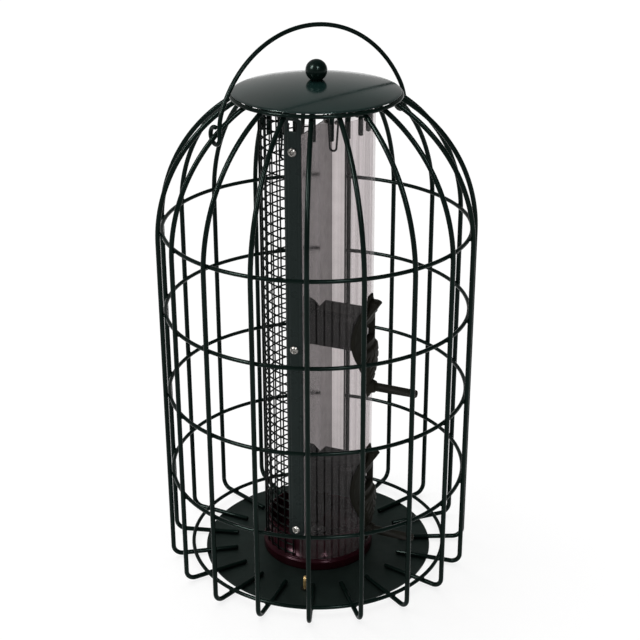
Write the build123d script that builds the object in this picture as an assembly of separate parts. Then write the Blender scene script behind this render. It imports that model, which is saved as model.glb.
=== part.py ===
from build123d import *
import math
import os

os.makedirs("parts", exist_ok=True)

# Squirrel proof bird feeder: a wire cage with a domed top round a tube feeder.
# Millimetres. The cage's axis is Z, the tray's underside is Z = 0.
# +X is the side of the two seed ports, the nut mesh fills the -X half of the tube.
# Directions round the axis are given in degrees from -Y, growing towards +X.

# Gaps between pieces
seat_gap = 0.05        # welded, pressed or clamped faces
fit_gap = 0.2          # pieces that slide together by hand
lift_gap = 0.3         # resting faces of pieces that part in use
overrun = 1.0          # how far a cutting solid runs past the wall it cuts

# Which point of a box or cylinder is placed: the middle of its lower or upper face
standing = (Align.CENTER, Align.CENTER, Align.MIN)
hanging = (Align.CENTER, Align.CENTER, Align.MAX)

# Cage
rib_count = 19
first_rib_angle = 19.6
rib_wire = 3.4
ring_wire = 2.8
wire_sides = 4         # sections have few sides, because the cage repeats them so often
fine_wire_sides = 6    # of the wires that other pieces rest on or turn round
cage_outer_r = 111.3
dome_centre_z = 250.4
peg_drop = 20.8
peg_bend_r = 9.6
shoulder_bend_r = 20.0
foot_bend_r = 7.0
spoke_end_r = 62.0
ring_height_shares = (1.0264, 0.7879, 0.5403, 0.2847)   # of the dome's centre height
foot_ring_r = 94.0
top_ring_tilt = 26.0   # place of the top ring on the ribs' shoulder bend

# Tray
tray_r = 84.5
tray_sheet = 1.0
boss_rise = 4.6
boss_top_r = 13.0
boss_foot_r = 17.5

# Tube feeder
tube_r = 39.6
tube_wall = 1.5
tube_top_drop = 9.1    # below the cage's crown
half_edge = 2.1        # distance of each half's straight edges from the middle of the strips
mesh_wire = 0.9
mesh_columns = 11
mesh_rows = 20

# Base cup
cup_flange_r = 41.0
cup_flange_top_z = 9.8
cup_wall = 2.0
cup_rim_z = 27.5
cup_step_r = 40.2
cup_step_h = 2.4
cup_rim_radius = 0.8

# Divider
divider_sheet = 0.8
divider_x = -4.6
divider_flange = 10.0
divider_top_drop = 14.4   # below the tube's top
divider_gap = 0.3
divider_side_gap = 0.5

# Cover strips
strip_w = 12.0
strip_sheet = 1.0
strip_bottom_z = 28.6
strip_top_rise = 4.0   # over the tube's top
strip_corner_r = 3.0
strip_window_w = 6.0
strip_window_h = 7.0
strip_window_below = 9.0
screw_height_shares = (0.0991, 0.5211, 0.9331)   # of the strip's top

# Screws
round_sides = 10       # of the small round parts of fasteners, and of their holes
screw_bevel = 45.0
screw_shank_d = 3.0
screw_head_d = 6.0
screw_head_h = 2.0
screw_length = 6.5
bolt_d = 4.0
bolt_head_d = 8.0
bolt_head_h = 2.6
nut_flats = 7.0
nut_h = 3.2
washer_r = 6.0
washer_t = 0.8

# Seed ports, with heights measured from the perch's axis
port_perch_zs = (140.0, 21.5)
port_sheet = 1.5
port_top = 70.3
port_top_slope = 0.6
port_half_w = 21.2
port_wide_at = 41.0
port_waist_half_w = 7.5
port_waist_at = 6.0
port_foot_half_w = 4.6
port_foot = -7.2
port_foot_slope = 0.25
mouth_half_w = 12.0
mouth_low = 35.8
mouth_high = 50.0
mouth_corner_r = 3.0
sleeve_wall = 1.5
sleeve_depth = 3.6
hood_low = 53.6
hood_lip_at = 63.6
hood_top = 66.2
hood_reach = 8.0
hood_bevel = 1.2
hood_lip_half_w = 4.0
scoop_width_share = 0.8     # of the collar's width
scoop_lip_reach = 3.4
scoop_reach = 4.6
scoop_peak = 27.0
scoop_low = 4.0
scoop_low_reach = 3.2
boss_d = 10.6
boss_reach = 5.2

# Perches
perch_d = 6.3
perch_sides = 12
perch_tip_d = 5.7
perch_tip_r = 76.0
perch_nose = 0.9

# Seed tunnels inside the tube
tunnel_half_w = 13.4
tunnel_low = 31.5
tunnel_high = 56.5
tunnel_wall = 1.4
tunnel_corner_r = 5.0
tunnel_slant = 7.0

# Pin with an eye on the tray
pin_angle = 14.7
pin_r = 64.5
pin_wire = 1.5
pin_loop_h = 9.6
pin_loop_w = 4.6
grommet_r = 3.2
grommet_h = 1.0

# Lid
lid_r = 56.5
lid_sheet = 0.7
lid_rise = 7.4
knob_d = 14.6
knob_seat_r = 4.0
knob_screw_d = 4.0
knob_screw_depth = 6.0
knob_head_d = 8.0
knob_head_h = 2.4

# Lid clip
clip_wire = 1.5
clip_eye_r = 3.4
clip_drop = 1.2        # below the lid's underside, so that the arms clear its curve
clip_arm_x = 12.0
clip_arm_half_w = 5.0
clip_arm_drop = 33.0
clip_long_x = -27.0
clip_long_drop = 43.0
clip_bend_r = 1.9
clip_fillet_share = 0.9    # of the hairpin's half width

# Bail
bail_wire = 3.0
bail_ribs = (16, 7)
bail_pivot_share = 0.6843   # of the dome's radius
bail_eye_r = 5.7
bail_eye_turn = 285.0
bail_bend_r = 37.0
bail_lean = 24.4
bail_tilt = 7.3        # backwards at rest

# Sizes worked out from the ones above
rib_r = cage_outer_r - rib_wire / 2
rib_pitch = 360.0 / rib_count
spoke_z = tray_sheet + seat_gap + rib_wire / 2
weld_offset = rib_wire / 2 + seat_gap + ring_wire / 2   # between a rib's middle line and a ring's
foot_ring_z = spoke_z + weld_offset
top_ring_r = lid_r
top_ring_reach = shoulder_bend_r + weld_offset
shoulder_centre_r = top_ring_r - top_ring_reach * math.sin(math.radians(top_ring_tilt))
shoulder_turn = math.asin(shoulder_centre_r / (rib_r - shoulder_bend_r))
shoulder_centre_z = dome_centre_z + (rib_r - shoulder_bend_r) * math.cos(shoulder_turn)
crown_z = shoulder_centre_z + shoulder_bend_r
top_ring_z = shoulder_centre_z + top_ring_reach * math.cos(math.radians(top_ring_tilt))
tube_top_z = crown_z - tube_top_drop
tube_inner_r = tube_r - tube_wall
mesh_inner_r = tube_r - 2 * mesh_wire
peg_r = mesh_inner_r - fit_gap - rib_wire / 2
peg_tip_z = crown_z - peg_drop
cup_spigot_r = mesh_inner_r - fit_gap
cup_bottom_z = tray_sheet + seat_gap
tube_bottom_z = cup_flange_top_z + seat_gap
divider_top_z = tube_top_z - divider_top_drop
strip_inner_r = tube_r + seat_gap
strip_outer_r = strip_inner_r + strip_sheet
strip_top_z = tube_top_z + strip_top_rise
lid_bottom_z = top_ring_z + ring_wire / 2 + lift_gap
lid_edge_z = lid_bottom_z + lid_sheet
lid_apex_z = lid_edge_z + lid_rise
lid_curve_r = (lid_r**2 + lid_rise**2) / (2 * lid_rise)
bail_pivot_r = bail_pivot_share * rib_r
bail_pivot_z = dome_centre_z + math.sqrt(rib_r**2 - bail_pivot_r**2)


def direction(angle):
    """The unit vector at an angle from -Y towards +X."""
    turn = math.radians(angle)
    return Vector(math.sin(turn), -math.cos(turn), 0)


def turned(shape, angle):
    """A shape drawn along +X, turned to point in the given direction."""
    return Rot(0, 0, angle - 90) * shape


def wire_section(wire, sides=wire_sides):
    """The many-sided section of a wire, with a flat on each side along its local X."""
    return RegularPolygon(wire / 2, sides, major_radius=False, rotation=180 / sides)


def round_bar(diameter, length):
    """A small round bar, pin or hole, standing on Z = 0."""
    return extrude(RegularPolygon(diameter / 2, round_sides), length)


def save(node, shape):
    export_step(shape, f"parts/{node}.step")


# Cage

def rib_path():
    """One rib from the peg inside the tube's top, over the dome, to the spoke on the tray."""
    peg_top = crown_z - peg_bend_r
    peg = Line((peg_r, peg_tip_z), (peg_r, peg_top))
    peg_bend = RadiusArc(peg @ 1, (peg_r + peg_bend_r, crown_z), peg_bend_r)
    flat = Line(peg_bend @ 1, (shoulder_centre_r, crown_z))
    shoulder_end = (rib_r * math.sin(shoulder_turn), dome_centre_z + rib_r * math.cos(shoulder_turn))
    shoulder = RadiusArc(flat @ 1, shoulder_end, shoulder_bend_r)
    dome = RadiusArc(shoulder @ 1, (rib_r, dome_centre_z), rib_r)
    side = Line(dome @ 1, (rib_r, spoke_z + foot_bend_r))
    foot = RadiusArc(side @ 1, (rib_r - foot_bend_r, spoke_z), foot_bend_r)
    spoke = Line(foot @ 1, (spoke_end_r, spoke_z))
    return Plane.XZ * Wire([peg, peg_bend, flat, shoulder, dome, side, foot, spoke])


def make_rib():
    start = Plane((peg_r, 0, peg_tip_z), x_dir=(1, 0, 0), z_dir=(0, 0, 1))
    return sweep(start * wire_section(rib_wire), path=rib_path())


def make_ring(wire, radius, height, lean, sides=wire_sides):
    """A ring of wire with a flat of its section at the given lean from level."""
    section = Pos(radius, height) * Rot(0, 0, lean) * wire_section(wire, sides)
    return revolve(Plane.XZ * section, Axis.Z)


def make_cage_ring(height):
    """A ring inside the ribs, drawn in a little where they have begun to curve over."""
    lean = math.asin(max(0, height - dome_centre_z) / (rib_r - weld_offset))
    return make_ring(ring_wire, (rib_r - weld_offset) * math.cos(lean), height, math.degrees(lean))


def make_tray():
    """A flat disc with a pressed boss in the middle that hides the nut."""
    outline = [
        (boss_foot_r, 0),
        (tray_r, 0),
        (tray_r, tray_sheet),
        (boss_foot_r, tray_sheet),
        (boss_top_r, boss_rise),
        (0, boss_rise),
        (0, boss_rise - tray_sheet),
        (boss_top_r - tray_sheet, boss_rise - tray_sheet),
    ]
    tray = revolve(make_face(Plane.XZ * Polyline(*outline, close=True)), Axis.Z)
    tray -= round_bar(bolt_d + 2 * fit_gap, boss_rise + overrun)
    pin_hole = round_bar(2 * pin_wire + 4 * fit_gap, tray_sheet + overrun)
    return tray - turned(Pos(pin_r, 0, -overrun / 2) * pin_hole, pin_angle)


# Tray's pin

def make_grommet():
    grommet = round_bar(2 * grommet_r, grommet_h)
    grommet -= Pos(0, 0, -overrun / 2) * round_bar(2 * pin_wire + 4 * fit_gap, grommet_h + overrun)
    return turned(Pos(pin_r, 0, tray_sheet + seat_gap) * grommet, pin_angle)


def make_pin():
    """A flattened brass eye on a stem that goes down into the tray's hole."""
    base = tray_sheet + seat_gap + grommet_h
    stem_low = tray_sheet - seat_gap
    eye = SlotOverall(pin_loop_h, pin_loop_w, rotation=90)
    eye -= SlotOverall(pin_loop_h - 2 * pin_wire, pin_loop_w - 2 * pin_wire, rotation=90)
    pin = Pos(0, 0, base + pin_loop_h / 2) * extrude(Plane.XZ * eye, pin_wire / 2, both=True)
    stem_h = base + pin_wire / 2 - stem_low
    stem = Box(2 * pin_wire, pin_wire, stem_h, align=standing)
    return turned(Pos(pin_r, 0, 0) * Rot(0, 0, 90) * (pin + Pos(0, 0, stem_low) * stem), pin_angle)


# Base cup and its bolt

def make_cup():
    """The maroon cup: a stepped flange that the tube stands on, and a rim inside the tube."""
    floor_top = cup_flange_top_z
    floor_low = floor_top - cup_wall
    flange_inner_r = cup_flange_r - cup_wall
    step_z = cup_flange_top_z - cup_step_h
    outline = [
        (0, floor_low),
        (flange_inner_r - cup_wall, floor_low),
        (flange_inner_r, cup_bottom_z),
        (cup_flange_r, cup_bottom_z),
        (cup_flange_r, step_z - cup_rim_radius),
        (cup_step_r, step_z),
        (cup_step_r, floor_top),
        (cup_spigot_r, floor_top),
        (cup_spigot_r, cup_rim_z),
        (cup_spigot_r - cup_wall, cup_rim_z),
        (cup_spigot_r - cup_wall, floor_top),
        (0, floor_top),
    ]
    cup = revolve(make_face(Plane.XZ * Polyline(*outline, close=True)), Axis.Z)
    seat_top = boss_rise + seat_gap
    seat = Cylinder(boss_top_r, floor_low - seat_top + overrun, align=standing)
    cup += Pos(0, 0, seat_top) * seat
    return cup - round_bar(bolt_d + 2 * fit_gap, cup_rim_z)


def make_screw(shank_d, length, head_d, head_h):
    """A pan head screw along Z, its head's underside at Z = 0."""
    crown = extrude(RegularPolygon(head_d / 2, round_sides), head_h / 2, taper=screw_bevel)
    head = round_bar(head_d, head_h / 2) + Pos(0, 0, head_h / 2) * crown
    return head + Pos(0, 0, -length) * round_bar(shank_d, length)


def make_base_bolt():
    length = cup_flange_top_z - seat_gap
    return Pos(0, 0, cup_flange_top_z + washer_t + 2 * seat_gap) * make_screw(
        bolt_d, length, bolt_head_d, bolt_head_h
    )


def make_base_washer():
    washer = round_bar(2 * washer_r, washer_t)
    washer -= Pos(0, 0, -overrun / 2) * round_bar(bolt_d + 2 * fit_gap, washer_t + overrun)
    return Pos(0, 0, cup_flange_top_z + seat_gap) * washer


def make_base_nut():
    nut = extrude(RegularPolygon(nut_flats / 2, 6, major_radius=False), nut_h)
    nut -= Pos(0, 0, -overrun / 2) * round_bar(bolt_d + 2 * seat_gap, nut_h + overrun)
    return Pos(0, 0, boss_rise - tray_sheet - seat_gap - nut_h) * nut


# Tube feeder's halves

def half_space(side):
    """The half of the tube on the +X or -X side, cut back from the strips' middle."""
    size = 2 * tube_r
    block = Box(size, 2 * size, tube_top_z + overrun, align=standing)
    return Pos(side * (half_edge + size / 2), 0, 0) * block


def sleeve_block(grow, reach):
    """The mouth's rounded block through the tube's wall, grown on every side."""
    width = 2 * (mouth_half_w + grow)
    height = mouth_high - mouth_low + 2 * grow
    face = RectangleRounded(width, height, mouth_corner_r + grow)
    block = extrude(Plane((0, 0, 0), x_dir=(0, 1, 0), z_dir=(1, 0, 0)) * face, reach)
    return Pos(0, 0, (mouth_low + mouth_high) / 2) * block


def make_clear_tube():
    height = tube_top_z - tube_bottom_z
    tube = Cylinder(tube_r, height, align=standing)
    tube -= Cylinder(tube_inner_r, 2 * height + overrun)
    tube = Pos(0, 0, tube_bottom_z) * tube & half_space(1)
    for perch_z in port_perch_zs:
        tube -= Pos(0, 0, perch_z) * sleeve_block(sleeve_wall + fit_gap, tube_r + overrun)
    return tube


def make_mesh():
    """The nut mesh: upright wires outside, level hoops inside with one straight run per wire."""
    edge_angle = math.degrees(math.asin((half_edge + mesh_wire) / tube_r))
    column_pitch = (180 - 2 * edge_angle) / (mesh_columns - 1)
    height = tube_top_z - tube_bottom_z
    upright = Box(mesh_wire, mesh_wire, height, align=(Align.MAX, Align.CENTER, Align.MIN))
    wires = []
    for column in range(mesh_columns):
        angle = 180 + edge_angle + column * column_pitch
        wires.append(turned(Pos(tube_r, 0, tube_bottom_z) * upright, angle))
    flat_r = tube_r - mesh_wire - seat_gap
    half_turn = math.radians(column_pitch / 2)
    corners = []
    for r in (flat_r, mesh_inner_r):
        arc = []
        for column in range(mesh_columns + 1):
            angle = 180 + edge_angle + (column - 0.5) * column_pitch
            arc.append(direction(angle) * (r / math.cos(half_turn)))
        corners.append(arc)
    start, end = corners
    outline = Polyline(*start, *reversed(end), close=True)
    hoop = extrude(make_face(outline), mesh_wire) & half_space(-1)
    row_pitch = (height - mesh_wire) / (mesh_rows - 1)
    for row in range(mesh_rows):
        wires.append(Pos(0, 0, tube_bottom_z + row * row_pitch) * hoop)
    return Compound(wires)


def make_divider():
    """The folded plate between seeds and nuts, with a tongue down into the cup."""
    fold_y = mesh_inner_r - divider_side_gap
    low = cup_rim_z + seat_gap
    height = divider_top_z - low
    lower_corner = (Align.MIN, Align.MIN, Align.MIN)
    plate = Pos(divider_x, -fold_y, low) * Box(divider_sheet, 2 * fold_y, height, align=lower_corner)
    flange = Pos(divider_x, -fold_y, low) * Box(divider_flange, divider_sheet, height, align=lower_corner)
    plate += flange + mirror(flange, Plane.XZ)
    tongue_y = cup_spigot_r - cup_wall - divider_gap
    tongue_low = cup_flange_top_z + seat_gap
    tongue = Box(divider_sheet, 2 * tongue_y, low - tongue_low + overrun, align=standing)
    plate += Pos(divider_x + divider_sheet / 2, 0, tongue_low) * tongue
    bolt_stack = washer_t + bolt_head_h + 2 * divider_gap
    plate -= Pos(0, 0, tongue_low) * Cylinder(
        washer_r + divider_gap, bolt_stack, align=standing
    )
    for hole in screw_holes():
        plate -= hole
    return plate


def screw_holes():
    """The strips' screw holes, as bars that run right through the tube."""
    bar = Pos(0, 0, -2 * tube_r) * round_bar(screw_shank_d + 2 * fit_gap, 4 * tube_r)
    return [Pos(0, 0, share * strip_top_z) * Rot(90, 0, 0) * bar for share in screw_height_shares]


def make_strip():
    """The front cover strip: a curved band with rounded ends, a window and three screw holes."""
    height = strip_top_z - strip_bottom_z
    middle_z = (strip_top_z + strip_bottom_z) / 2
    band = Cylinder(strip_outer_r, height) - Cylinder(strip_inner_r, height + 2 * overrun)
    face = RectangleRounded(strip_w, height, strip_corner_r)
    front = Plane((0, 0, 0), x_dir=(1, 0, 0), z_dir=(0, -1, 0))
    strip = Pos(0, 0, middle_z) * (band & extrude(front * face, strip_outer_r + overrun))
    window_z = strip_top_z - strip_window_below + strip_window_h
    window = Box(strip_window_w, 2 * strip_outer_r, strip_window_h, align=hanging)
    strip -= Pos(0, 0, window_z) * window
    for hole in screw_holes():
        strip -= hole
    return strip


def make_strip_screws():
    screws = []
    for share in screw_height_shares:
        screw = Rot(90, 0, 0) * make_screw(screw_shank_d, screw_length, screw_head_d, screw_head_h)
        screws.append(Pos(0, -strip_outer_r - seat_gap, share * strip_top_z) * screw)
    return screws


# Seed ports

def port_front():
    """The plane of a port's front view, which looks along the perch."""
    return Plane((0, 0, 0), x_dir=(0, 1, 0), z_dir=(1, 0, 0))


def port_leaf(width_share):
    """The leaf-shaped front view of a port: pointed at the top, drawn in round the perch's boss."""
    half_w = width_share * port_half_w
    waist = width_share * port_waist_half_w
    foot = width_share * port_foot_half_w
    right = Spline(
        (0, port_top),
        (half_w, port_wide_at),
        (waist, port_waist_at),
        (foot, port_foot),
        tangents=((1, -port_top_slope), (-port_foot_slope, -1)),
    )
    base = Line(right @ 1, (-foot, port_foot))
    return port_front() * make_face([right, base, mirror(right, Plane.YZ)])


def port_collar():
    """The leaf-shaped collar that hugs the tube."""
    inner_r = tube_r + seat_gap
    height = 4 * port_top
    shell = Cylinder(inner_r + port_sheet, height) - Cylinder(inner_r, height + overrun)
    return shell & extrude(port_leaf(1), inner_r + port_sheet + overrun)


def port_hood():
    """The flap over the mouth: it flares out and up from the wall, and narrows to its lip."""
    wall_r = tube_r + seat_gap + port_sheet / 2
    lip_r = tube_r + seat_gap + hood_reach
    side = [
        (wall_r, hood_low),
        (lip_r, hood_lip_at),
        (lip_r - hood_bevel, hood_top),
        (wall_r, hood_top),
    ]
    front = [
        (-mouth_half_w, hood_low - overrun),
        (mouth_half_w, hood_low - overrun),
        (hood_lip_half_w, hood_top + overrun),
        (-hood_lip_half_w, hood_top + overrun),
    ]
    flap = extrude(Plane.XZ * make_face(Polyline(*side, close=True)), mouth_half_w, both=True)
    return flap & extrude(port_front() * make_face(Polyline(*front, close=True)), lip_r + overrun)


def port_scoop():
    """The bulging bib under the mouth, narrower than the collar behind it."""
    inner_r = tube_r + seat_gap
    lip_z = mouth_low - seat_gap
    front = Spline(
        (inner_r + scoop_low_reach, scoop_low),
        (inner_r + scoop_reach, scoop_peak),
        (inner_r + scoop_lip_reach, lip_z),
    )
    back = Polyline(front @ 1, (inner_r, lip_z), (inner_r, scoop_low), front @ 0)
    body = revolve(Plane.XZ * make_face(front + back), Axis.Z)
    return body & extrude(port_leaf(scoop_width_share), inner_r + scoop_reach + overrun)


def perch_section(diameter):
    return RegularPolygon(diameter / 2, perch_sides)


def make_port(perch_z):
    """One moulded seed port: collar, mouth and sleeve, hood, scoop and perch boss."""
    inner_r = tube_r + seat_gap
    port = port_collar() + port_hood() + port_scoop()
    sleeve = sleeve_block(sleeve_wall, inner_r + port_sheet) - Cylinder(tube_r - sleeve_depth, 4 * port_top)
    port += sleeve
    boss = Rot(0, 90, 0) * extrude(perch_section(boss_d), inner_r + boss_reach)
    port += boss - Cylinder(inner_r, 4 * port_top)
    port -= sleeve_block(0, inner_r + hood_reach + overrun)
    perch_hole = extrude(perch_section(perch_d + 2 * seat_gap), boss_reach)
    port -= Pos(inner_r + port_sheet, 0, 0) * Rot(0, 90, 0) * perch_hole
    return Pos(0, 0, perch_z) * port


def make_perch(perch_z):
    """A slightly tapered peg with a bevelled end, pushed into the port's boss."""
    start_r = tube_r + port_sheet + 2 * seat_gap
    neck_r = tube_r + seat_gap + boss_reach
    length = perch_tip_r - start_r
    neck = neck_r - start_r
    sections = [
        perch_section(perch_d),
        Pos(0, 0, neck) * perch_section(perch_d),
        Pos(0, 0, length - perch_nose) * perch_section(perch_tip_d),
        Pos(0, 0, length) * perch_section(perch_tip_d - 2 * perch_nose),
    ]
    peg = loft(sections, ruled=True)
    return Pos(start_r, 0, perch_z) * Rot(0, 90, 0) * peg


def make_tunnel(perch_z):
    """The arched seed tunnel from the divider to a port's mouth, open underneath."""
    start_x = divider_x + divider_sheet + divider_gap
    end_x = tube_r - sleeve_depth - fit_gap
    length = end_x - start_x
    height = tunnel_high - tunnel_low
    lower_middle = (Align.MIN, Align.CENTER, Align.MIN)
    arch = Box(length, 2 * tunnel_half_w, height, align=lower_middle)
    arch = fillet(arch.edges().filter_by(Axis.X).group_by(Axis.Z)[-1], tunnel_corner_r)
    core_w = 2 * (tunnel_half_w - tunnel_wall)
    core = Box(length + 2 * overrun, core_w, height - tunnel_wall + overrun, align=lower_middle)
    core = fillet(core.edges().filter_by(Axis.X).group_by(Axis.Z)[-1], tunnel_corner_r - tunnel_wall)
    arch -= Pos(-overrun, 0, -overrun) * core
    slant = [(0, height - tunnel_slant), (0, height + overrun), (tunnel_slant, height + overrun)]
    wedge = extrude(Plane.XZ * make_face(Polyline(*slant, close=True)), tunnel_half_w + overrun, both=True)
    arch -= wedge
    return Pos(start_x, 0, perch_z + tunnel_low) * arch & Cylinder(end_x, 4 * tube_top_z)


# Lid

def lid_height(r):
    """Height of the lid's outer skin over its edge."""
    return math.sqrt(lid_curve_r**2 - r**2) - lid_curve_r + lid_rise


def make_lid():
    """The pressed cap, whose cut edge stands on the top ring."""
    inner_r = lid_r - lid_sheet
    half = lid_r / 2
    outer = Line((lid_r, lid_bottom_z), (lid_r, lid_edge_z)) + ThreePointArc(
        (lid_r, lid_edge_z), (half, lid_edge_z + lid_height(half)), (0, lid_apex_z)
    )
    inner = ThreePointArc(
        (0, lid_apex_z - lid_sheet),
        (half, lid_bottom_z + lid_height(half)),
        (inner_r, lid_bottom_z + lid_height(inner_r)),
    )
    inner += Polyline(inner @ 1, (inner_r, lid_bottom_z), (lid_r, lid_bottom_z))
    profile = outer + Line((0, lid_apex_z), (0, lid_apex_z - lid_sheet)) + inner
    lid = revolve(make_face(Plane.XZ * profile), Axis.Z)
    hole = round_bar(knob_screw_d + 2 * fit_gap, lid_rise)
    return lid - Pos(0, 0, lid_apex_z - lid_rise / 2) * hole


def make_knob():
    """A ball with a flat seat on the lid and a blind hole for its screw."""
    radius = knob_d / 2
    seat_drop = math.sqrt(radius**2 - knob_seat_r**2)
    centre = lid_apex_z + seat_gap + seat_drop
    knob = Pos(0, 0, centre) * Sphere(radius)
    knob -= Pos(0, 0, centre - seat_drop) * Box(knob_d, knob_d, knob_d, align=hanging)
    hole = round_bar(knob_screw_d + 2 * seat_gap, knob_screw_depth + overrun)
    return knob - Pos(0, 0, centre - seat_drop) * hole


def make_knob_screw():
    under = lid_apex_z - lid_sheet - clip_drop - clip_wire - 2 * seat_gap
    length = knob_screw_depth + lid_apex_z - under
    screw = make_screw(knob_screw_d, length, knob_head_d, knob_head_h)
    return Pos(0, 0, under) * Rot(180, 0, 0) * screw


def make_clip():
    """The wire clip under the lid: an eye over the screw's head, a hairpin arm and a long arm."""
    eye_z = lid_apex_z - lid_sheet - clip_drop - clip_wire / 2
    arm_z = eye_z - clip_arm_drop
    long_z = eye_z - clip_long_drop
    hairpin = [
        (clip_eye_r, eye_z),
        (clip_arm_x - clip_arm_half_w, eye_z),
        (clip_arm_x - clip_bend_r, arm_z),
        (clip_arm_x + clip_bend_r, arm_z),
        (clip_arm_x + clip_arm_half_w, eye_z - clip_arm_half_w),
    ]
    long_arm = [
        (-clip_eye_r, eye_z),
        (clip_long_x + clip_arm_half_w, eye_z),
        (clip_long_x, long_z),
        (clip_long_x + 2 * clip_arm_half_w, long_z + clip_bend_r),
    ]
    clip = make_ring(clip_wire, clip_eye_r, eye_z, 90)
    for points, side in ((hairpin, 1), (long_arm, -1)):
        path = FilletPolyline(*points, radius=clip_fillet_share * clip_bend_r)
        start = Plane((points[0][0], 0, points[0][1]), x_dir=(0, 1, 0), z_dir=(side, 0, 0))
        clip += sweep(start * wire_section(clip_wire), path=Plane.XZ * path)
    return clip


# Bail

def bail_axis():
    """The two pivots, where the bail's eyes go round their ribs."""
    pivots = []
    for rib in bail_ribs:
        point = direction(first_rib_angle + rib * rib_pitch) * bail_pivot_r
        pivots.append(point + Vector(0, 0, bail_pivot_z))
    return pivots


def make_bail():
    """The hanging wire: an arch between two open eyes, which hook round two ribs."""
    left, right = bail_axis()
    half_span = (right - left).length / 2
    along = (right - left).normalized()
    tilt = math.radians(bail_tilt)
    up = Vector(0, 0, 1)
    facing = along.cross(up) * math.cos(tilt) + up * math.sin(tilt)
    frame = Plane((left + right) / 2, x_dir=along, z_dir=facing)
    lean = math.radians(bail_lean)
    arch_r = bail_bend_r + (half_span - bail_bend_r) / math.cos(lean)
    arch_z = (bail_bend_r - arch_r) * math.sin(lean)
    bend_x = half_span - bail_bend_r
    turn = math.radians(bail_eye_turn)
    middle = turn / 2
    arch_end = (bend_x + bail_bend_r * math.cos(lean), bail_bend_r * math.sin(lean), bail_eye_r)
    bend_middle = (
        bend_x + bail_bend_r * math.cos(lean / 2),
        bail_bend_r * math.sin(lean / 2),
        bail_eye_r,
    )
    bend_start = (half_span, 0, bail_eye_r)
    eye_middle = (half_span, -bail_eye_r * math.sin(middle), bail_eye_r * math.cos(middle))
    eye_end = (half_span, -bail_eye_r * math.sin(turn), bail_eye_r * math.cos(turn))

    def other(point):
        return (-point[0], point[1], point[2])

    path = Wire([
        ThreePointArc(other(eye_end), other(eye_middle), other(bend_start)),
        ThreePointArc(other(bend_start), other(bend_middle), other(arch_end)),
        ThreePointArc(other(arch_end), (0, arch_z + arch_r, bail_eye_r), arch_end),
        ThreePointArc(arch_end, bend_middle, bend_start),
        ThreePointArc(bend_start, eye_middle, eye_end),
    ])
    start = Plane(path @ 0, x_dir=(1, 0, 0), z_dir=path % 0)
    return frame * sweep(start * wire_section(bail_wire, fine_wire_sides), path=path)


# Export

for rib in range(rib_count):
    save(f"rib_{rib + 1:02d}", turned(make_rib(), first_rib_angle + rib * rib_pitch))
for number, share in enumerate(ring_height_shares, 1):
    save(f"cage_ring_{number}", make_cage_ring(share * dome_centre_z))
save("foot_ring", make_ring(ring_wire, foot_ring_r, foot_ring_z, 90))
save("top_ring", make_ring(ring_wire, top_ring_r, top_ring_z, 90 - top_ring_tilt, fine_wire_sides))
save("tray", make_tray())
save("tray_pin", make_pin())
save("tray_pin_grommet", make_grommet())
save("base_cup", make_cup())
save("base_bolt", make_base_bolt())
save("base_washer", make_base_washer())
save("base_nut", make_base_nut())
save("divider", make_divider())
save("clear_tube", make_clear_tube())
save("nut_mesh", make_mesh())
front_strip = make_strip()
front_screws = Compound(make_strip_screws())
save("front_strip", front_strip)
save("rear_strip", Rot(0, 0, 180) * front_strip)
save("front_strip_screws", front_screws)
save("rear_strip_screws", Rot(0, 0, 180) * front_screws)
for name, perch_z in zip(("upper", "lower"), port_perch_zs):
    save(f"{name}_port", make_port(perch_z))
    save(f"{name}_perch", make_perch(perch_z))
    save(f"{name}_tunnel", make_tunnel(perch_z))
save("lid", make_lid())
save("lid_knob", make_knob())
save("knob_screw", make_knob_screw())
save("lid_clip", make_clip())
save("bail", make_bail())
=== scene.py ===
import math

import bpy
from mathutils import Matrix, Vector


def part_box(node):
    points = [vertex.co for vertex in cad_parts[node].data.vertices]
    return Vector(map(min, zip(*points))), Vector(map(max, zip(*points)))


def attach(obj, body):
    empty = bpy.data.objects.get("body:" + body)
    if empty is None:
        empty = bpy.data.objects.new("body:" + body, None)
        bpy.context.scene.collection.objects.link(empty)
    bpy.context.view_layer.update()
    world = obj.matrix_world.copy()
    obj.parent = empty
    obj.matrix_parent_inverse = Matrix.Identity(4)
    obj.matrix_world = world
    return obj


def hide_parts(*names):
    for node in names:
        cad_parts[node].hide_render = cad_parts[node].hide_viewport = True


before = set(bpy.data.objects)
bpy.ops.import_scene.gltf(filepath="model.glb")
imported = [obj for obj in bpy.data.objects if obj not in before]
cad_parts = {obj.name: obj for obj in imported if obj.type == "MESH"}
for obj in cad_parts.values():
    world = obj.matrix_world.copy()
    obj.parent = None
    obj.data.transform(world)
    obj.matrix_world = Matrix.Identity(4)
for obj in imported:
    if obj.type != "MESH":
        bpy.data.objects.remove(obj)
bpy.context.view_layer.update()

# Sizes in millimetres. Angles round the axis count from -Y towards +X.
MM = 0.001
RIB_COUNT = 19
RIB_PITCH = 360.0 / RIB_COUNT
FIRST_RIB_ANGLE = 19.6
RIB_WIRE = 3.4
RING_WIRE = 2.8
RIB_R = 109.6
DOME_CENTRE_Z = 250.4
PEG_R = 35.9
PEG_DROP = 20.8
PEG_BEND_R = 9.6
SHOULDER_BEND_R = 20.0
FOOT_BEND_R = 7.0
SPOKE_Z = 2.75
SPOKE_END_R = 62.0
WELD_OFFSET = 3.15
WELD_BEAD = (2.4 * MM, 1.1 * MM)   # half its length and half its width
RING_HEIGHTS = (257.0, 197.3, 135.3, 71.3)
FOOT_RING_R = 94.0
TOP_RING_R = 56.5
TOP_RING_TILT = math.radians(26.0)
TOP_RING_REACH = SHOULDER_BEND_R + WELD_OFFSET
SHOULDER_R = TOP_RING_R - TOP_RING_REACH * math.sin(TOP_RING_TILT)
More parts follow.
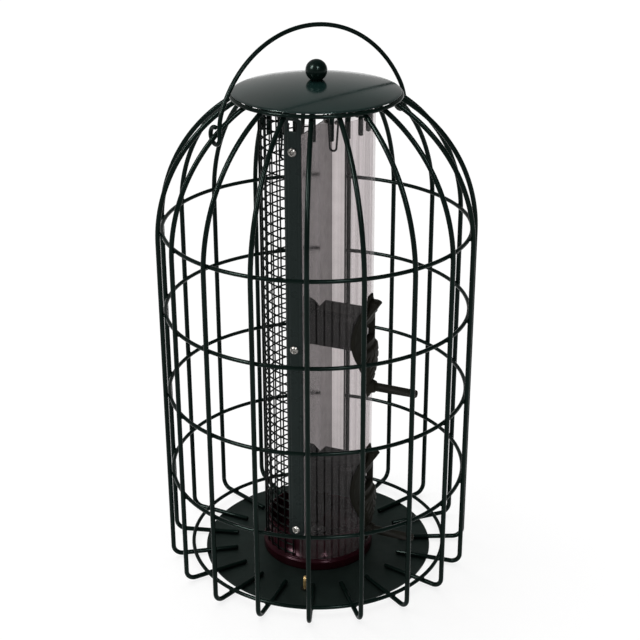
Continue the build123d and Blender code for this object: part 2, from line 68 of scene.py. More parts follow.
SHOULDER_TURN = math.asin(SHOULDER_R / (RIB_R - SHOULDER_BEND_R))
SHOULDER_Z = DOME_CENTRE_Z + (RIB_R - SHOULDER_BEND_R) * math.cos(SHOULDER_TURN)
CROWN_Z = SHOULDER_Z + SHOULDER_BEND_R

TUBE_R = 39.6
TUBE_BOTTOM_Z = 9.85
TUBE_TOP_Z = CROWN_Z - 9.1
HALF_EDGE = 2.1
MESH_WIRE = 1.15   # a little thicker than the CAD net's, as in the photograph
MESH_PITCH = 7.1
CUP_FLANGE_R = 41.0
CUP_FLANGE_TOP_Z = 9.8
CUP_STEP_R = 40.2
CUP_STEP_H = 2.4
CUP_SPIGOT_R = 37.6
CUP_RIM_Z = 27.5
CUP_WALL = 2.0
CUP_BOSS_R = 13.0
CUP_BOLT_R = 2.2
LINE_COUNT = 45    # fine upright lines round the whole tube

STRIP_HALF_W = 6.0
STRIP_R = 40.65
STRIP_BACK_R = 39.68
STRIP_BOTTOM_Z = 28.6
STRIP_TOP_Z = TUBE_TOP_Z + 4.0
STRIP_CORNER_R = 3.0
SCREW_HEIGHT_SHARES = (0.0991, 0.5211, 0.9331)   # of the strip's top
SCREW_HEAD_R = 3.0
SCREW_HEAD_H = 1.9
SCREW_SHANK_R = 1.45
SCREW_REACH = 6.0
RECESS_DEPTH = 1.4
RECESS_HALF_W = 0.78
RECESS_REACH = 2.1

PERCH_HEIGHTS = {"upper": 140.0, "lower": 21.5}
PERCH_R = 3.15
PERCH_NOSE_R = 1.4
PERCH_BOSS = ((0.0, 0.0), (6.2, 0.0), (5.7, 1.3), (5.0, 2.4), (4.6, 3.8), (4.3, 4.9), (3.9, 5.2), (3.2, 5.2),
              (0.0, 5.2))   # radius and distance out from the port's back
PORT_SKIN_R = 41.15
PORT_BACK_R = 39.68
PORT_FOOT = -7.2
PORT_TOP = 70.3
PORT_HALF_WIDTHS = ((-7.2, 4.2), (5.0, 7.2), (20.0, 14.6), (31.0, 19.6), (41.0, 21.2), (52.0, 18.6),
                    (61.0, 11.8), (66.0, 5.6), (70.3, 3.6))
MOUTH_HALF_W = 12.0
MOUTH_LOW = 35.8
MOUTH_HIGH = 50.0
MOUTH_CORNER_R = 3.0
SLEEVE_END_R = 36.2
SCOOP_LOW = 3.0
SCOOP_HIGH = 30.5   # lower than the CAD scoop's lip, as in the photograph
SCOOP_FRONT = ((3.0, 42.4), (12.0, 43.7), (23.0, 44.2), (30.5, 43.1))
SCOOP_WIDTH_SHARE = 0.8
VEIN_PITCH = 6.6
VEIN_SLOPE = 0.9
HOOD_LOW = 53.6
HOOD_LIP_AT = 63.8
HOOD_TOP = 66.2
HOOD_R = 47.6
HOOD_LIP_HALF_W = 3.6

LID_SHEET = 0.7
LID_HOLE_R = 2.3
CLIP_WIRE_R = 0.75
CLIP_EYE_R = 3.4
HAIRPIN_X = 12.0
HAIRPIN_Z = 312.5       # lower than the CAD clip's, as in the photograph
HAIRPIN_BEND_R = 2.4
LONG_ARM_X = -24.4
LONG_ARM_BEND_R = 2.2
LONG_ARM_EXTRA = 13.0   # how far the long arm hangs below its CAD piece

PIN_WIRE_R = 0.75
PIN_HALF_W = 1.55
PIN_LEG_HALF_W = 0.8
PIN_FLARE = 3.0

BAIL_RIBS = (16, 7)
BAIL_WIRE = 3.0
BAIL_PIVOT_R = 0.6843 * RIB_R
BAIL_EYE_R = 5.7
BAIL_EYE_TURN = math.radians(285.0)
BAIL_BEND_R = 37.0
BAIL_LEAN = math.radians(24.4)
BAIL_TILT = math.radians(7.3)

# Camera, as fitted to the photograph
CAMERA_PLACE = Vector((0.3530, -0.8317, 0.5838))
CAMERA_PITCH = math.radians(23.855)
CAMERA_TURN = math.radians(23.0) - 0.0022
CAMERA_ROLL = -0.0027
CAMERA_LENS = 78.37
SENSOR_WIDTH = 36.0

# Stage, in metres. The room is dimmer towards one side, as the lid's reflection shows.
FLOOR_HALF = 6.0
ROOM_LIGHT = (0.44, 0.10)             # on the lit side and on the dark side
ROOM_DARK_SIDE = (0.62, 0.30, 0.72)
ROOM_FADE = (0.25, 0.90)              # where it starts and ends, as the cosine to the dark side
BACKDROP_LIGHT = 1.04                 # to the camera alone
SUN_LIGHT = 2.35
SUN_WIDTH = math.radians(70.0)
SUN_TURN = (math.radians(-14.0), math.radians(-16.0), 0.0)
BOX_AIM = Vector((0.0, 0.0, 0.3))
BOXES = (("left_box", (-1.0, -1.3, 1.5), (0.35, 0.9), 60.0, (1.0, 0.99, 0.97)),
         ("right_box", (0.95, -1.1, 1.45), (0.25, 0.7), 22.0, (0.97, 0.99, 1.0)))


# Camera and stage

def make_camera():
    camera = bpy.data.objects.new("camera", bpy.data.cameras.new("camera"))
    camera.data.sensor_width = SENSOR_WIDTH
    camera.data.lens = CAMERA_LENS
    camera.data.clip_start = 0.05
    look = Matrix.Rotation(CAMERA_TURN, 4, "Z") @ Matrix.Rotation(math.pi / 2 - CAMERA_PITCH, 4, "X")
    camera.matrix_world = Matrix.Translation(CAMERA_PLACE) @ look @ Matrix.Rotation(CAMERA_ROLL, 4, "Z")
    bpy.context.collection.objects.link(camera)
    bpy.context.scene.camera = camera


def make_box(name, place, size, power, colour):
    """A soft box that is seen in glossy surfaces alone."""
    light = bpy.data.objects.new(name, bpy.data.lights.new(name, "AREA"))
    light.data.shape = "RECTANGLE"
    light.data.size = size[0]
    light.data.size_y = size[1]
    light.data.energy = power
    light.data.color = colour
    light.location = place
    light.rotation_euler = (BOX_AIM - Vector(place)).to_track_quat("-Z", "Y").to_euler()
    light.visible_diffuse = False
    bpy.context.collection.objects.link(light)


def make_stage():
    """A wide pale floor, a backdrop as pale, a broad soft sun and two boxes for the wires' highlights."""
    mesh = bpy.data.meshes.new("floor")
    corners = [(x * FLOOR_HALF, y * FLOOR_HALF, 0) for x, y in ((-1, -1), (1, -1), (1, 1), (-1, 1))]
    mesh.from_pydata(corners, [], [(0, 1, 2, 3)])
    floor = bpy.data.objects.new("floor", mesh)
    bpy.context.collection.objects.link(floor)
    floor.data.materials.append(floor_material())
    world = bpy.data.worlds.new("studio")
    bpy.context.scene.world = world
    world.use_nodes = True
    tree = world.node_tree
    background = tree.nodes["Background"]
    background.inputs["Color"].default_value = (1.0, 0.99, 0.98, 1.0)
    way = tree.nodes.new("ShaderNodeTexCoord")
    toward = tree.nodes.new("ShaderNodeVectorMath")
    toward.operation = "DOT_PRODUCT"
    toward.inputs[1].default_value = ROOM_DARK_SIDE
    tree.links.new(way.outputs["Generated"], toward.inputs[0])
    seen = tree.nodes.new("ShaderNodeLightPath")
    strength = tree.nodes.new("ShaderNodeMapRange")
    strength.inputs["To Max"].default_value = BACKDROP_LIGHT
    room = map_range(tree, toward.outputs["Value"], *ROOM_LIGHT, *ROOM_FADE)
    tree.links.new(room, strength.inputs["To Min"])
    tree.links.new(seen.outputs["Is Camera Ray"], strength.inputs["Value"])
    tree.links.new(strength.outputs["Result"], background.inputs["Strength"])
    sun = bpy.data.objects.new("soft_sun", bpy.data.lights.new("soft_sun", "SUN"))
    sun.data.energy = SUN_LIGHT
    sun.data.angle = SUN_WIDTH
    sun.rotation_euler = SUN_TURN
    sun.visible_glossy = False
    bpy.context.collection.objects.link(sun)
    for box in BOXES:
        make_box(*box)
    bpy.context.scene.view_settings.view_transform = "Standard"


# Materials

def new_material(name):
    """A node material, its tree and its Principled shader."""
    material = bpy.data.materials.new(name)
    material.use_nodes = True
    return material, material.node_tree, material.node_tree.nodes["Principled BSDF"]


def object_place(tree):
    return tree.nodes.new("ShaderNodeTexCoord").outputs["Object"]


def noise(tree, scale, detail=3.0):
    texture = tree.nodes.new("ShaderNodeTexNoise")
    texture.inputs["Scale"].default_value = scale
    texture.inputs["Detail"].default_value = detail
    tree.links.new(object_place(tree), texture.inputs["Vector"])
    return texture.outputs["Fac"]


def grey(value):
    return (value, value, value)


def ramp(tree, source, low, high, start=0.35, end=0.65):
    """A blend from one colour, or one grey, to another."""
    node = tree.nodes.new("ShaderNodeValToRGB")
    for element, place, value in zip(node.color_ramp.elements, (start, end), (low, high)):
        element.position = place
        element.color = (*(value if isinstance(value, tuple) else grey(value)), 1.0)
    tree.links.new(source, node.inputs["Fac"])
    return node.outputs["Color"]


def map_range(tree, source, low, high, start=0.0, end=1.0):
    """Numbers from start to end carried over to low to high, and held there outside."""
    node = tree.nodes.new("ShaderNodeMapRange")
    node.inputs["From Min"].default_value = start
    node.inputs["From Max"].default_value = end
    node.inputs["To Min"].default_value = low
    node.inputs["To Max"].default_value = high
    tree.links.new(source, node.inputs["Value"])
    return node.outputs["Result"]


def arithmetic(tree, operation, first, second):
    """A math node on two sockets, or on a socket and a number."""
    node = tree.nodes.new("ShaderNodeMath")
    node.operation = operation
    tree.links.new(first, node.inputs[0])
    if isinstance(second, float):
        node.inputs[1].default_value = second
    else:
        tree.links.new(second, node.inputs[1])
    return node.outputs["Value"]


def bump(tree, shader, source, depth):
    node = tree.nodes.new("ShaderNodeBump")
    node.inputs["Strength"].default_value = 1.0
    node.inputs["Distance"].default_value = depth
    tree.links.new(source, node.inputs["Height"])
    tree.links.new(node.outputs["Normal"], shader.inputs["Normal"])


def powder_coat(name, colour, roughness, coat=0.0, specular=0.2, tint=(0.75, 1.0, 0.92)):
    """Dark powder coat: slow colour drift, uneven sheen and a fine orange peel."""
    material, tree, shader = new_material(name)
    paler = tuple(1.5 * value for value in colour)
    tree.links.new(ramp(tree, noise(tree, 35.0), colour, paler), shader.inputs["Base Color"])
    sheen = ramp(tree, noise(tree, 140.0), roughness * 0.85, roughness * 1.2)
    tree.links.new(sheen, shader.inputs["Roughness"])
    shader.inputs["Specular IOR Level"].default_value = specular
    shader.inputs["Specular Tint"].default_value = (*tint, 1.0)
    shader.inputs["Coat Weight"].default_value = coat
    shader.inputs["Coat Roughness"].default_value = 0.06
    bump(tree, shader, noise(tree, 1100.0, 2.0), 0.00004)
    return material


def metal(name, colour, dark, roughness, metallic):
    """Worn plated metal with fine blotches."""
    material, tree, shader = new_material(name)
    grain = 420.0
    tree.links.new(ramp(tree, noise(tree, 160.0, 5.0), dark, colour), shader.inputs["Base Color"])
    sheen = ramp(tree, noise(tree, grain), roughness * 0.75, roughness * 1.3)
    tree.links.new(sheen, shader.inputs["Roughness"])
    shader.inputs["Metallic"].default_value = metallic
    bump(tree, shader, noise(tree, 2.5 * grain, 2.0), 0.00002)
    return material


def galvanised_material():
    """Zinc plated sheet with large soft spangles: a shiny plate, and flanges that are paler and duller.
    The rear flange glows a little, because the photograph's tube is clear where this plate still is."""
    material, tree, shader = new_material("galvanised_sheet")
    place = object_place(tree)
    cells = tree.nodes.new("ShaderNodeTexVoronoi")
    cells.inputs["Scale"].default_value = 130.0
    tree.links.new(place, cells.inputs["Vector"])
    dull = ramp(tree, cells.outputs["Distance"], (0.20, 0.195, 0.195), (0.25, 0.245, 0.245), 0.1, 0.8)
    bright = ramp(tree, cells.outputs["Distance"], (0.80, 0.77, 0.77), (0.88, 0.85, 0.85), 0.1, 0.8)
    axes = tree.nodes.new("ShaderNodeSeparateXYZ")
    tree.links.new(place, axes.inputs["Vector"])
    flange = map_range(tree, axes.outputs["X"], 0.0, 1.0, -3.79 * MM, -3.6 * MM)
    mix = tree.nodes.new("ShaderNodeMix")
    mix.data_type = "RGBA"
    tree.links.new(flange, mix.inputs[0])
    tree.links.new(dull, mix.inputs[6])
    tree.links.new(bright, mix.inputs[7])
    tree.links.new(mix.outputs[2], shader.inputs["Base Color"])
    tree.links.new(ramp(tree, noise(tree, 60.0), 0.07, 0.16), shader.inputs["Roughness"])
    tree.links.new(ramp(tree, flange, 1.0, 0.0, 0.0, 1.0), shader.inputs["Metallic"])
    shader.inputs["Specular IOR Level"].default_value = 0.1
    behind = arithmetic(tree, "GREATER_THAN", axes.outputs["Y"], 0.0)
    glow = arithmetic(tree, "MULTIPLY", flange, behind)
    tree.links.new(bright, shader.inputs["Emission Color"])
    tree.links.new(ramp(tree, glow, 0.0, 0.58, 0.0, 1.0), shader.inputs["Emission Strength"])
    return material


def matte_plastic_material():
    """Brown-black moulded plastic with a fine grain."""
    material, tree, shader = new_material("port_plastic")
    tree.links.new(ramp(tree, noise(tree, 45.0), (0.0095, 0.0092, 0.0062), (0.0145, 0.0140, 0.0096)),
                   shader.inputs["Base Color"])
    tree.links.new(ramp(tree, noise(tree, 220.0), 0.52, 0.68), shader.inputs["Roughness"])
    shader.inputs["Specular IOR Level"].default_value = 0.07
    bump(tree, shader, noise(tree, 2200.0, 2.0), 0.00003)
    return material


def tunnel_plastic_material():
    """Dark grey plastic with darker upright lines about 4.5 mm apart, painted shade standing in for shallow
    flutes.
    """
    material, tree, shader = new_material("tunnel_plastic")
    bands = tree.nodes.new("ShaderNodeTexWave")
    bands.bands_direction = "X"
    bands.inputs["Scale"].default_value = 70.0
    tree.links.new(object_place(tree), bands.inputs["Vector"])
    # Painted shade: the darker lines in the colour stand in for the shade in shallow flutes.
    tree.links.new(ramp(tree, bands.outputs["Fac"], 0.004, (0.012, 0.012, 0.0125), 0.0, 0.14),
                   shader.inputs["Base Color"])
    tree.links.new(ramp(tree, noise(tree, 220.0), 0.45, 0.6), shader.inputs["Roughness"])
    shader.inputs["Specular IOR Level"].default_value = 0.15
    return material


def cup_plastic_material():
    """Maroon plastic, glossy, with slightly pink highlights."""
    material, tree, shader = new_material("maroon_plastic")
    tree.links.new(ramp(tree, noise(tree, 25.0), (0.016, 0.0020, 0.0040), (0.026, 0.0032, 0.0065)),
                   shader.inputs["Base Color"])
    tree.links.new(ramp(tree, noise(tree, 90.0), 0.17, 0.27), shader.inputs["Roughness"])
    shader.inputs["Specular IOR Level"].default_value = 0.10
    shader.inputs["Specular Tint"].default_value = (1.0, 0.62, 0.74, 1.0)
    bump(tree, shader, noise(tree, 260.0, 2.0), 0.00003)
    return material


def clear_plastic_material():
    """Clear plastic, tinted a faint warm grey, with upright streaks and fine moulding lines in its haze."""
    material, tree, shader = new_material("clear_plastic")
    place = object_place(tree)
    stretch = tree.nodes.new("ShaderNodeMapping")
    stretch.inputs["Scale"].default_value = (300.0, 300.0, 1.6)
    tree.links.new(place, stretch.inputs["Vector"])
    streaks = tree.nodes.new("ShaderNodeTexNoise")
    streaks.inputs["Scale"].default_value = 1.0
    streaks.inputs["Detail"].default_value = 1.0
    tree.links.new(stretch.outputs["Vector"], streaks.inputs["Vector"])
    clear = tree.nodes.new("ShaderNodeBsdfTransparent")
    tint = ramp(tree, streaks.outputs["Fac"], (0.842, 0.822, 0.824), (0.912, 0.893, 0.896), 0.40, 0.66)
    tree.links.new(tint, clear.inputs["Color"])
    tree.links.new(ramp(tree, noise(tree, 70.0), 0.05, 0.10), shader.inputs["Roughness"])
    milky = ramp(tree, noise(tree, 50.0), (0.46, 0.45, 0.45), (0.54, 0.53, 0.53))
    tree.links.new(milky, shader.inputs["Base Color"])
    shader.inputs["Specular IOR Level"].default_value = 0.35
    rim = tree.nodes.new("ShaderNodeLayerWeight")
    rim.inputs["Blend"].default_value = 0.25
    share = map_range(tree, rim.outputs["Facing"], 0.035, 0.24)
    round_way = tree.nodes.new("ShaderNodeTexGradient")
    round_way.gradient_type = "RADIAL"
    tree.links.new(place, round_way.inputs["Vector"])
    lines = arithmetic(tree, "PINGPONG", round_way.outputs["Fac"], 0.5 / LINE_COUNT)
    between = map_range(tree, lines, 0.0, 1.0, 0.06 / LINE_COUNT, 0.12 / LINE_COUNT)
    haze = tree.nodes.new("ShaderNodeMixShader")
    tree.links.new(arithmetic(tree, "MULTIPLY", share, between), haze.inputs["Fac"])
    tree.links.new(clear.outputs["BSDF"], haze.inputs[1])
    tree.links.new(shader.outputs["BSDF"], haze.inputs[2])
    tree.links.new(haze.outputs["Shader"], tree.nodes["Material Output"].inputs["Surface"])
    bump(tree, shader, streaks.outputs["Fac"], 0.0001)
    return material


def floor_material():
    """A pale floor that is lit mostly from itself, so that its shadows stay weak."""
    material, tree, shader = new_material("pale_floor")
    tree.links.new(ramp(tree, noise(tree, 3.0), 0.20, 0.22), shader.inputs["Base Color"])
    shader.inputs["Emission Color"].default_value = (1.0, 1.0, 1.0, 1.0)
    shader.inputs["Emission Strength"].default_value = 0.82
    shader.inputs["Roughness"].default_value = 0.9
    shader.inputs["Specular IOR Level"].default_value = 0.1
    return material


# Shapes

def direction(angle):
    turn = math.radians(angle)
    return Vector((math.sin(turn), -math.cos(turn), 0.0))


def on_bearing(flat_points, angle):
    """Points drawn as (radius, height) in millimetres, stood up on a bearing, in metres."""
    out = direction(angle)
    return [out * (r * MM) + Vector((0, 0, z * MM)) for r, z in flat_points]


def arc(centre, radius, start, end, steps):
    """Points on an arc in a flat drawing, angles in radians from the first axis."""
    points = []
    for step in range(steps + 1):
        turn = start + (end - start) * step / steps
        points.append((centre[0] + radius * math.cos(turn), centre[1] + radius * math.sin(turn)))
    return points


def finish_piece(name, vertices, faces, material, body, node=None):
    """A smooth object that rides on its body and takes the place of its CAD node."""
    mesh = bpy.data.meshes.new(name)
    mesh.from_pydata([tuple(v) for v in vertices], [], faces)
    mesh.validate()
    mesh.update()
    for polygon in mesh.polygons:
        polygon.use_smooth = True
    mesh.materials.append(material)
    piece = bpy.data.objects.new(name, mesh)
    bpy.context.collection.objects.link(piece)
    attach(piece, body)
    if node:
        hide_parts(node)


def wire(path, radius, sides=14, closed=False):
    """Vertices and faces of round wire along a path, with softly rounded ends."""
    count = len(path)
    tangents = []
    for i in range(count):
        before = path[(i - 1) % count] if closed or i else path[i]
        after = path[(i + 1) % count] if closed or i < count - 1 else path[i]
        tangents.append((after - before).normalized())
    side = tangents[0].orthogonal().normalized()
    rings = []
    for i in range(count):
        side = (side - tangents[i] * side.dot(tangents[i])).normalized()
        rings.append((path[i], tangents[i], side, radius))
    if not closed:
        first = rings[0]
        last = rings[-1]
        for share in (0.55, 1.0):
            slim = radius * math.sqrt(1 - 0.8 * share * share)
            step = radius * share / 2
            rings.insert(0, (first[0] - first[1] * step, first[1], first[2], slim))
            rings.append((last[0] + last[1] * step, last[1], last[2], slim))
    vertices = []
    faces = []
    for centre, tangent, across, r in rings:
        up = tangent.cross(across)
        for k in range(sides):
            turn = 2 * math.pi * k / sides
            vertices.append(centre + across * (r * math.cos(turn)) + up * (r * math.sin(turn)))
    total = len(rings)
    for i in range(total if closed else total - 1):
        a = i * sides
        b = ((i + 1) % total) * sides
        for k in range(sides):
            k2 = (k + 1) % sides
            faces.append((a + k, a + k2, b + k2, b + k))
    if not closed:
        faces.append(tuple(range(sides))[::-1])
        faces.append(tuple(range((total - 1) * sides, total * sides)))
    return vertices, faces


def merged(parts):
    """The vertices and faces of several shapes as one."""
    vertices = []
    faces = []
    for part_vertices, part_faces in parts:
        base = len(vertices)
        vertices.extend(part_vertices)
        faces.extend(tuple(base + i for i in face) for face in part_faces)
    return vertices, faces


def turned_shape(profile, steps=128):
    """A solid of revolution round Z from a closed (radius, height) outline in millimetres."""
    vertices = []
    faces = []
    count = len(profile)
    for step in range(steps):
        turn = 2 * math.pi * step / steps
        for r, z in profile:
            vertices.append(Vector((r * MM * math.cos(turn), r * MM * math.sin(turn), z * MM)))
    for step in range(steps):
        a = step * count
        b = ((step + 1) % steps) * count
        for k in range(count):
            k2 = (k + 1) % count
            faces.append((a + k, b + k, b + k2, a + k2))
    return vertices, faces


# Cage

def rib_path():
    """The same run of bends as the CAD rib, from the peg's tip to the spoke's end."""
    lean = math.pi / 2 - SHOULDER_TURN
    peg_tip_z = CROWN_Z - PEG_DROP
    points = [(PEG_R, peg_tip_z), (PEG_R, (peg_tip_z + CROWN_Z - PEG_BEND_R) / 2)]
    points += arc((PEG_R + PEG_BEND_R, CROWN_Z - PEG_BEND_R), PEG_BEND_R, math.pi, math.pi / 2, 10)
    points += arc((SHOULDER_R, SHOULDER_Z), SHOULDER_BEND_R, math.pi / 2, lean, 6)
    points += arc((0.0, DOME_CENTRE_Z), RIB_R, lean, 0.0, 40)[1:]
    points += [(RIB_R, DOME_CENTRE_Z * share) for share in (0.8, 0.6, 0.4, 0.2)]
    points += arc((RIB_R - FOOT_BEND_R, SPOKE_Z + FOOT_BEND_R), FOOT_BEND_R, 0.0, -math.pi / 2, 10)
    points += [((RIB_R + SPOKE_END_R) / 2, SPOKE_Z), (SPOKE_END_R, SPOKE_Z)]
    return points


def circle(radius, height, steps=180):
    """Points round the axis, in metres."""
    return [Vector((radius * MM * math.cos(2 * math.pi * k / steps),
                    radius * MM * math.sin(2 * math.pi * k / steps), height * MM)) for k in range(steps)]


def weld(place, along, out, half_length, half_width):
    """A small smooth bead where two wires cross."""
    sides = 10
    rings = 6
    up = along.cross(out)
    vertices = []
    faces = []
    for i in range(rings + 1):
        lean = math.pi * i / rings - math.pi / 2
        for k in range(sides):
            turn = 2 * math.pi * k / sides
            ring = math.cos(lean)
            spread = out * (half_width * ring * math.cos(turn)) + up * (half_width * ring * math.sin(turn))
            vertices.append(place + along * (half_length * math.sin(lean)) + spread)
    for i in range(rings):
        for k in range(sides):
            k2 = (k + 1) % sides
            faces.append((i * sides + k, i * sides + k2, (i + 1) * sides + k2, (i + 1) * sides + k))
    return vertices, faces


def make_cage(coat):
    path = rib_path()
    for rib in range(RIB_COUNT):
        vertices, faces = wire(on_bearing(path, FIRST_RIB_ANGLE + rib * RIB_PITCH), RIB_WIRE / 2 * MM, 16)
        finish_piece(f"rib_wire_{rib + 1:02d}", vertices, faces, coat, "cage", f"rib_{rib + 1:02d}")
    rings = []
    for number, height in enumerate(RING_HEIGHTS, 1):
        rise = max(0.0, height - DOME_CENTRE_Z)
        rings.append((f"cage_ring_{number}", math.sqrt((RIB_R - WELD_OFFSET)**2 - rise**2), height))
    rings.append(("foot_ring", FOOT_RING_R, SPOKE_Z + WELD_OFFSET))
    rings.append(("top_ring", TOP_RING_R, SHOULDER_Z + TOP_RING_REACH * math.cos(TOP_RING_TILT)))
    for node, radius, height in rings:
        vertices, faces = wire(circle(radius, height), RING_WIRE / 2 * MM, 14, closed=True)
        finish_piece(f"{node}_wire", vertices, faces, coat, "cage", node)
    beads = []
    for rib in range(RIB_COUNT):
        out = direction(FIRST_RIB_ANGLE + rib * RIB_PITCH)
        round_way = Vector((0, 0, 1)).cross(out)
        for node, radius, height in rings[:4]:
            place = out * ((radius + RING_WIRE / 2) * MM) + Vector((0, 0, height * MM))
            beads.append(weld(place, round_way, out, *WELD_BEAD))
        place = out * (FOOT_RING_R * MM) + Vector((0, 0, (SPOKE_Z + RIB_WIRE / 2) * MM))
        beads.append(weld(place, round_way, out, *WELD_BEAD))
    vertices, faces = merged(beads)
    finish_piece("cage_welds", vertices, faces, coat, "cage")


# Nut mesh

def make_mesh(coat):
    """The full square mesh: hoops of half a turn behind upright wires."""
    end_gap = 0.3
    hoop_steps = 48
    first = math.degrees(math.asin((HALF_EDGE + MESH_WIRE) / TUBE_R))
    span = 180.0 - 2 * first
    upright_r = TUBE_R - MESH_WIRE / 2
    hoop_r = upright_r - MESH_WIRE
    columns = round(math.radians(span) * upright_r / MESH_PITCH)
    height = TUBE_TOP_Z - TUBE_BOTTOM_Z
    rows = round(height / MESH_PITCH)
    parts = []
    for column in range(columns + 1):
        out = direction(180.0 + first + span * column / columns) * (upright_r * MM)
        ends = [out + Vector((0, 0, z * MM)) for z in (TUBE_BOTTOM_Z + end_gap, TUBE_TOP_Z - end_gap)]
        parts.append(wire(ends, MESH_WIRE / 2 * MM, 8))
    for row in range(rows):
        z = TUBE_BOTTOM_Z + MESH_WIRE + (height - 2 * MESH_WIRE) * row / (rows - 1)
        bearings = [180.0 + first + span * k / hoop_steps for k in range(hoop_steps + 1)]
        path = [direction(bearing) * (hoop_r * MM) + Vector((0, 0, z * MM)) for bearing in bearings]
        parts.append(wire(path, MESH_WIRE / 2 * MM, 8))
    vertices, faces = merged(parts)
    finish_piece("nut_mesh_wire", vertices, faces, coat, "cage", "nut_mesh")


# Lid, knob and bail

def make_lid(gloss, knob_gloss):
    """The pressed cap with its softened edge, and the ball knob."""
    low, high = (v[2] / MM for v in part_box("lid"))
    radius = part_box("lid")[1][0] / MM
    edge = low + LID_SHEET
    rise = high - edge
    curve = (radius**2 + rise**2) / (2 * rise)
    steps = 30
    outer = []
    for k in range(steps + 1):
        r = LID_HOLE_R + (radius - LID_SHEET / 2 - LID_HOLE_R) * k / steps
        outer.append((r, high + math.sqrt(curve**2 - r**2) - curve))
    bend = LID_SHEET / 2
    rim = arc((radius - bend, edge - bend), bend, math.radians(60), math.radians(-90), 6)
    under = [(min(r, radius - LID_SHEET), z - LID_SHEET) for r, z in reversed(outer)]
    vertices, faces = turned_shape(outer + rim + under, 192)
    finish_piece("lid_cap", vertices, faces, gloss, "lid", "lid")
    knob_low, knob_high = (v[2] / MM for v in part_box("lid_knob"))
    knob_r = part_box("lid_knob")[1][1] / MM
    centre = knob_high - knob_r
    seat = math.acos((centre - knob_low) / knob_r)
    ball = arc((0.0, centre), knob_r, seat - math.pi / 2, math.pi / 2, 40)
    vertices, faces = turned_shape([(0.0, knob_low)] + ball, 72)
    finish_piece("knob_ball", vertices, faces, knob_gloss, "lid", "lid_knob")


def make_clip(coat):
    """The thin wire clip under the lid, one hairpin arm and one long arm."""
    low, high = (v[2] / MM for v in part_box("lid_clip"))
    low_z = low - LONG_ARM_EXTRA
    eye_z = high - CLIP_WIRE_R - 0.12
    bend_z = low_z + LONG_ARM_BEND_R
    ring = circle(CLIP_EYE_R, eye_z, 32)
    hairpin = [(CLIP_EYE_R, eye_z), (7.0, eye_z), (HAIRPIN_X - HAIRPIN_BEND_R, HAIRPIN_Z)]
    hairpin += arc((HAIRPIN_X, HAIRPIN_Z), HAIRPIN_BEND_R, math.pi, 2 * math.pi, 12)
    hairpin += [(17.0, eye_z - 5.0)]
    long_arm = [(-CLIP_EYE_R, eye_z), (-20.0, eye_z), (-22.0, eye_z - 1.6)]
    long_arm += [(LONG_ARM_X - LONG_ARM_BEND_R, bend_z + 1.0)]
    long_arm += arc((LONG_ARM_X, bend_z + 1.2), LONG_ARM_BEND_R, math.pi, 1.55 * math.pi, 6)
    long_arm += [(-17.0, bend_z + 1.2)]
    parts = [wire(ring, CLIP_WIRE_R * MM, 8, closed=True)]
    for flat in (hairpin, long_arm):
        parts.append(wire([Vector((x * MM, 0.0, z * MM)) for x, z in flat], CLIP_WIRE_R * MM, 8))
    vertices, faces = merged(parts)
    finish_piece("lid_clip_wire", vertices, faces, coat, "lid", "lid_clip")


def make_bail(coat):
    """The arch of wire between two open eyes round their ribs, leaning a little backwards."""
    height = DOME_CENTRE_Z + math.sqrt(RIB_R**2 - BAIL_PIVOT_R**2)
    left, right = (direction(FIRST_RIB_ANGLE + rib * RIB_PITCH) * BAIL_PIVOT_R for rib in BAIL_RIBS)
    along = (right - left).normalized()
    upright = Vector((0, 0, 1))
    eye_steps = 28
    front = along.cross(upright)
    rise = upright * math.cos(BAIL_TILT) - front * math.sin(BAIL_TILT)
    facing = front * math.cos(BAIL_TILT) + upright * math.sin(BAIL_TILT)
    middle = (left + right) / 2 + upright * height
    half_span = (right - left).length / 2
    arch_r = BAIL_BEND_R + (half_span - BAIL_BEND_R) / math.cos(BAIL_LEAN)
    arch_z = (BAIL_BEND_R - arch_r) * math.sin(BAIL_LEAN)
    bend_x = half_span - BAIL_BEND_R
    right_half = [(x, z, BAIL_EYE_R) for x, z in arc((0.0, arch_z), arch_r, math.pi / 2, BAIL_LEAN, 40)]
    right_half += [(x, z, BAIL_EYE_R) for x, z in arc((bend_x, 0.0), BAIL_BEND_R, BAIL_LEAN, 0.0, 12)[1:]]
    eye = [(half_span, -BAIL_EYE_R * math.sin(t), BAIL_EYE_R * math.cos(t))
           for t in [BAIL_EYE_TURN * k / eye_steps for k in range(1, eye_steps + 1)]]
    right_half += eye
    flat = [(-x, z, v) for x, z, v in reversed(right_half)] + right_half[1:]
    path = [(middle + along * x + facing * v + rise * z) * MM for x, z, v in flat]
    vertices, faces = wire(path, BAIL_WIRE / 2 * MM, 16)
    finish_piece("bail_wire", vertices, faces, coat, "bail", "bail")


# Plates bent round the tube

def smooth_curve(points, place):
    """The height of a smooth curve through a few (place, height) points."""
    if place <= points[0][0]:
        return points[0][1]
    for k in range(len(points) - 1):
        (x0, y0), (x1, y1) = points[k], points[k + 1]
        if place <= x1:
            before = points[max(k - 1, 0)]
            after = points[min(k + 2, len(points) - 1)]
            span = x1 - x0
            slope0 = (y1 - before[1]) / (x1 - before[0]) * span
            slope1 = (after[1] - y0) / (after[0] - x0) * span
            t = (place - x0) / span
            return ((2 * t**3 - 3 * t**2 + 1) * y0 + (t**3 - 2 * t**2 + t) * slope0
                    + (3 * t**2 - 2 * t**3) * y1 + (t**3 - t**2) * slope1)
    return points[-1][1]


def soft_step(value):
    value = min(1.0, max(0.0, value))
    return value * value * (3 - 2 * value)


